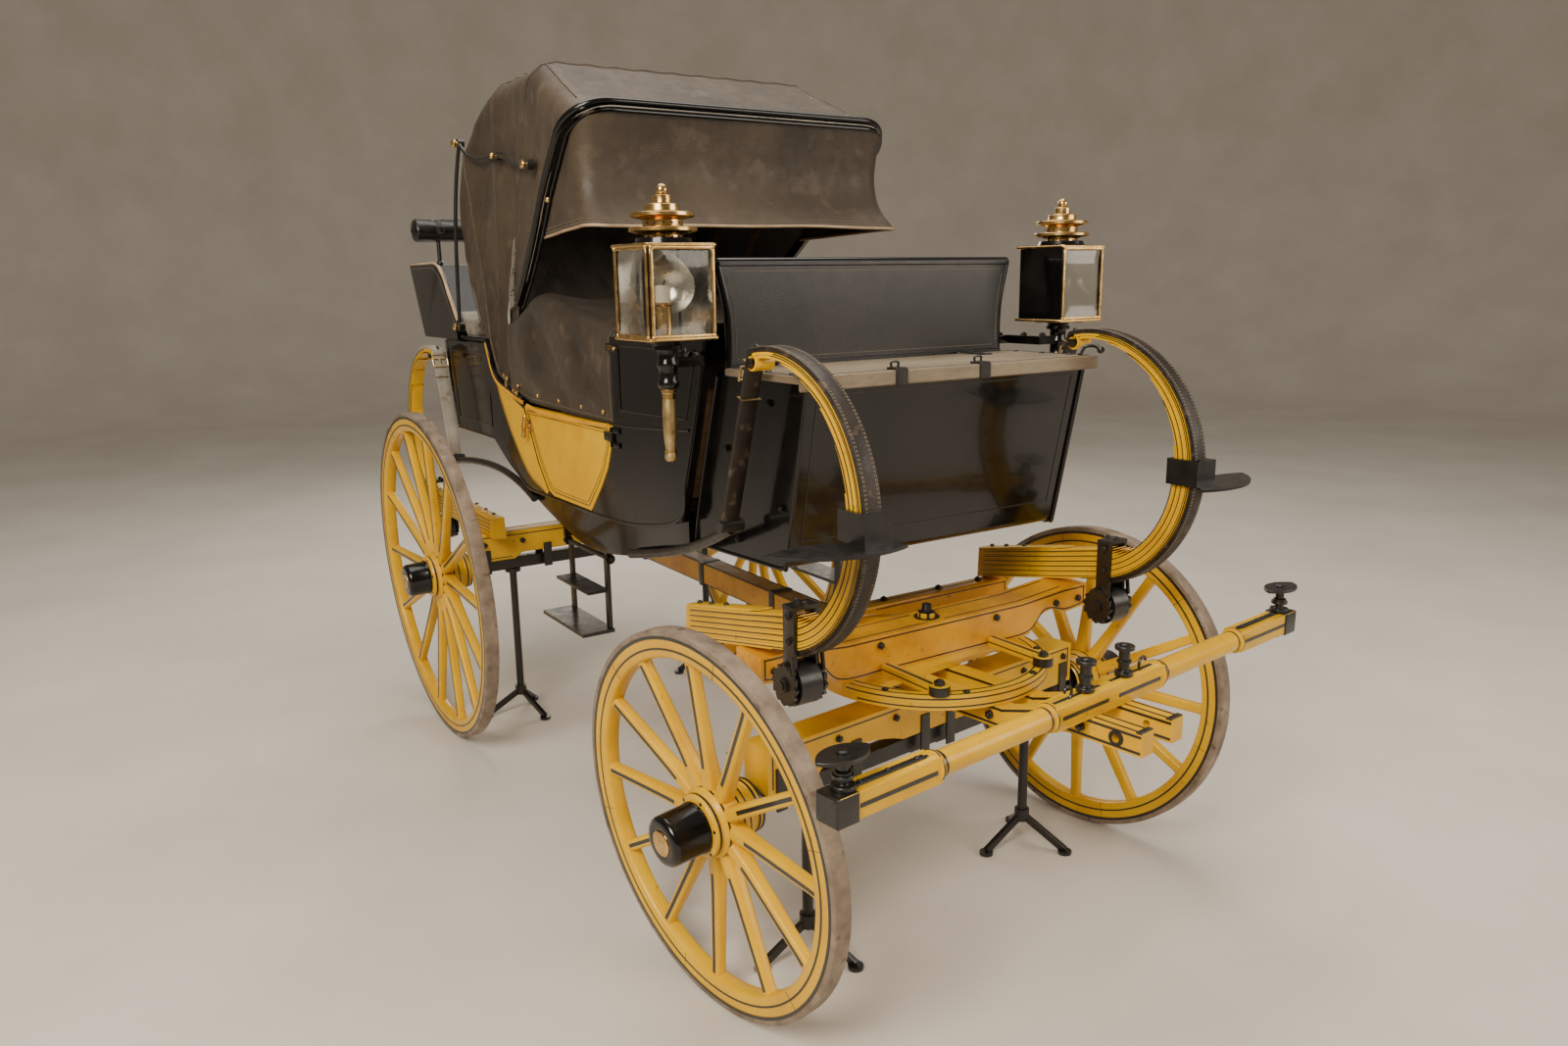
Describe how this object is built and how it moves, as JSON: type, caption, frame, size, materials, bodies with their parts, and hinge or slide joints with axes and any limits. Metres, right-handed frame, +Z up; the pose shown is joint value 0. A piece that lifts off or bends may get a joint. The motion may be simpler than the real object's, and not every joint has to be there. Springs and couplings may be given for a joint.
{
  "type": "travelling carriage with folding hood",
  "caption": "Horse-drawn travelling carriage on C-springs with a folding hood, side doors, front boot, rumble seat, lamps, steered front gear and spoked wheels.",
  "frame": {"origin": "centre of the whole bounding box's base, on the ground, with the front gear parked 6.3 degrees to the left", "axes": "+X forward, +Y to the carriage's left, +Z up"},
  "size_m": [3.6695, 1.7974, 2.362],
  "materials": {
    "yellow_wood": "old gloss coach paint with fine black lines",
    "yellow_iron": "gloss coach paint with fine black lines",
    "nave_wood": "gloss coach paint, black cap",
    "tyre_iron": "worn iron tyre",
    "black_panel": "black gloss coach paint",
    "black_iron": "black gloss paint on wrought iron",
    "brace_leather": "waxed harness leather",
    "door_paint": "yellow gloss coach paint, brass handle",
    "lid_board": "worn grey-tan painted board",
    "dash_leather": "black patent leather",
    "seat_wood": "bare ash",
    "cushion_cloth": "wool carriage cloth",
    "hood_leather": "old brown-grey hood leather",
    "apron_leather": "soft dull apron leather",
    "rumble_panel": "dark leather-covered panel with piped edge",
    "roll_leather": "dark grey leather roll",
    "lamp_black": "black japanned tinplate",
    "lamp_glass": "bevelled plate glass",
    "lamp_brass": "polished brass"
  },
  "bodies": {
    "carriage": {"perch": "yellow_wood", "rear_axle": "black_iron", "rear_axle_bed": "yellow_wood", "front_transom": "yellow_wood", "upper_wheel_plate": "yellow_iron", "springs_front": "yellow_iron", "springs_rear": "yellow_iron", "braces_front": "brace_leather", "braces_rear": "brace_leather", "spring_irons": "black_iron", "body_floor": "black_panel", "body_side_left": "black_panel", "body_side_right": "black_panel", "front_boot": "black_panel", "dash_panel": "dash_leather", "cabin_seat": "seat_wood", "seat_cushions": "cushion_cloth", "hood_leather": "hood_leather", "front_bow": "dash_leather", "hood_bows": "seat_wood", "hood_visor": "dash_leather", "hood_irons": "black_iron", "leather_apron": "apron_leather", "rear_boot": "black_panel", "rumble_seat": "rumble_panel", "rumble_cushion": "cushion_cloth", "rumble_roll": "roll_leather", "lamp_cases": "lamp_black", "lamp_glass": "lamp_glass", "lamp_brass": "lamp_brass", "body_irons": "black_iron", "rear_stands": "black_iron"},
    "front_gear": {"front_axle": "black_iron", "front_axle_bed": "yellow_wood", "lower_wheel_plate": "yellow_iron", "futchells": "yellow_wood", "splinter_bar": "yellow_wood", "roller_bolts": "black_iron", "front_stands": "black_iron"},
    "road_wheel_front_right": {"tyre_front_right": "tyre_iron", "wheel_front_right": "yellow_wood", "nave_front_right": "nave_wood"},
    "road_wheel_front_left": {"tyre_front_left": "tyre_iron", "wheel_front_left": "yellow_wood", "nave_front_left": "nave_wood"},
    "road_wheel_rear_right": {"tyre_rear_right": "tyre_iron", "wheel_rear_right": "yellow_wood", "nave_rear_right": "nave_wood"},
    "road_wheel_rear_left": {"tyre_rear_left": "tyre_iron", "wheel_rear_left": "yellow_wood", "nave_rear_left": "nave_wood"},
    "side_door_right": {"door_right": "door_paint"},
    "side_door_left": {"door_left": "door_paint"},
    "front_lid": {"boot_lid": "lid_board"},
    "step_right": {"folding_step_right": "black_iron"},
    "step_left": {"folding_step_left": "black_iron"}
  },
  "joints": [
    {"name": "steering", "type": "hinge", "parent": "carriage", "child": "front_gear", "pos_m": [1.12524, -0.03845, 0.66], "axis": [0, 0, 1], "range_deg": [-26.3, 13.7]},
    {"name": "spin_front_right", "type": "hinge", "parent": "front_gear", "child": "road_wheel_front_right", "pos_m": [1.20842, -0.79187, 0.46413], "axis": [-0.1095, 0.9921, 0.061], "continuous": true},
    {"name": "spin_front_left", "type": "hinge", "parent": "front_gear", "child": "road_wheel_front_left", "pos_m": [1.04206, 0.71497, 0.46413], "axis": [-0.1095, 0.9921, -0.061], "continuous": true},
    {"name": "spin_rear_right", "type": "hinge", "parent": "carriage", "child": "road_wheel_rear_right", "pos_m": [-0.82676, -0.79645, 0.61342], "axis": [0, 0.999, 0.0436], "continuous": true},
    {"name": "spin_rear_left", "type": "hinge", "parent": "carriage", "child": "road_wheel_rear_left", "pos_m": [-0.82676, 0.71955, 0.61342], "axis": [0, 0.999, -0.0436], "continuous": true},
    {"name": "door_hinge_right", "type": "hinge", "parent": "carriage", "child": "side_door_right", "pos_m": [0.28424, -0.53345, 1.238], "axis": [0, 0, 1], "range_deg": [0, 80]},
    {"name": "door_hinge_left", "type": "hinge", "parent": "carriage", "child": "side_door_left", "pos_m": [0.28424, 0.45655, 1.238], "axis": [0, 0, 1], "range_deg": [-80, 0]},
    {"name": "lid_hinge", "type": "hinge", "parent": "carriage", "child": "front_lid", "pos_m": [0.91924, -0.03845, 1.474], "axis": [0, -1, 0], "range_deg": [0, 75]},
    {"name": "step_hinge_right", "type": "hinge", "parent": "carriage", "child": "step_right", "pos_m": [-0.02676, -0.49215, 0.832], "axis": [1, 0, 0], "range_deg": [0, 80]},
    {"name": "step_hinge_left", "type": "hinge", "parent": "carriage", "child": "step_left", "pos_m": [-0.02676, 0.41525, 0.832], "axis": [1, 0, 0], "range_deg": [-80, 0]}
  ]
}
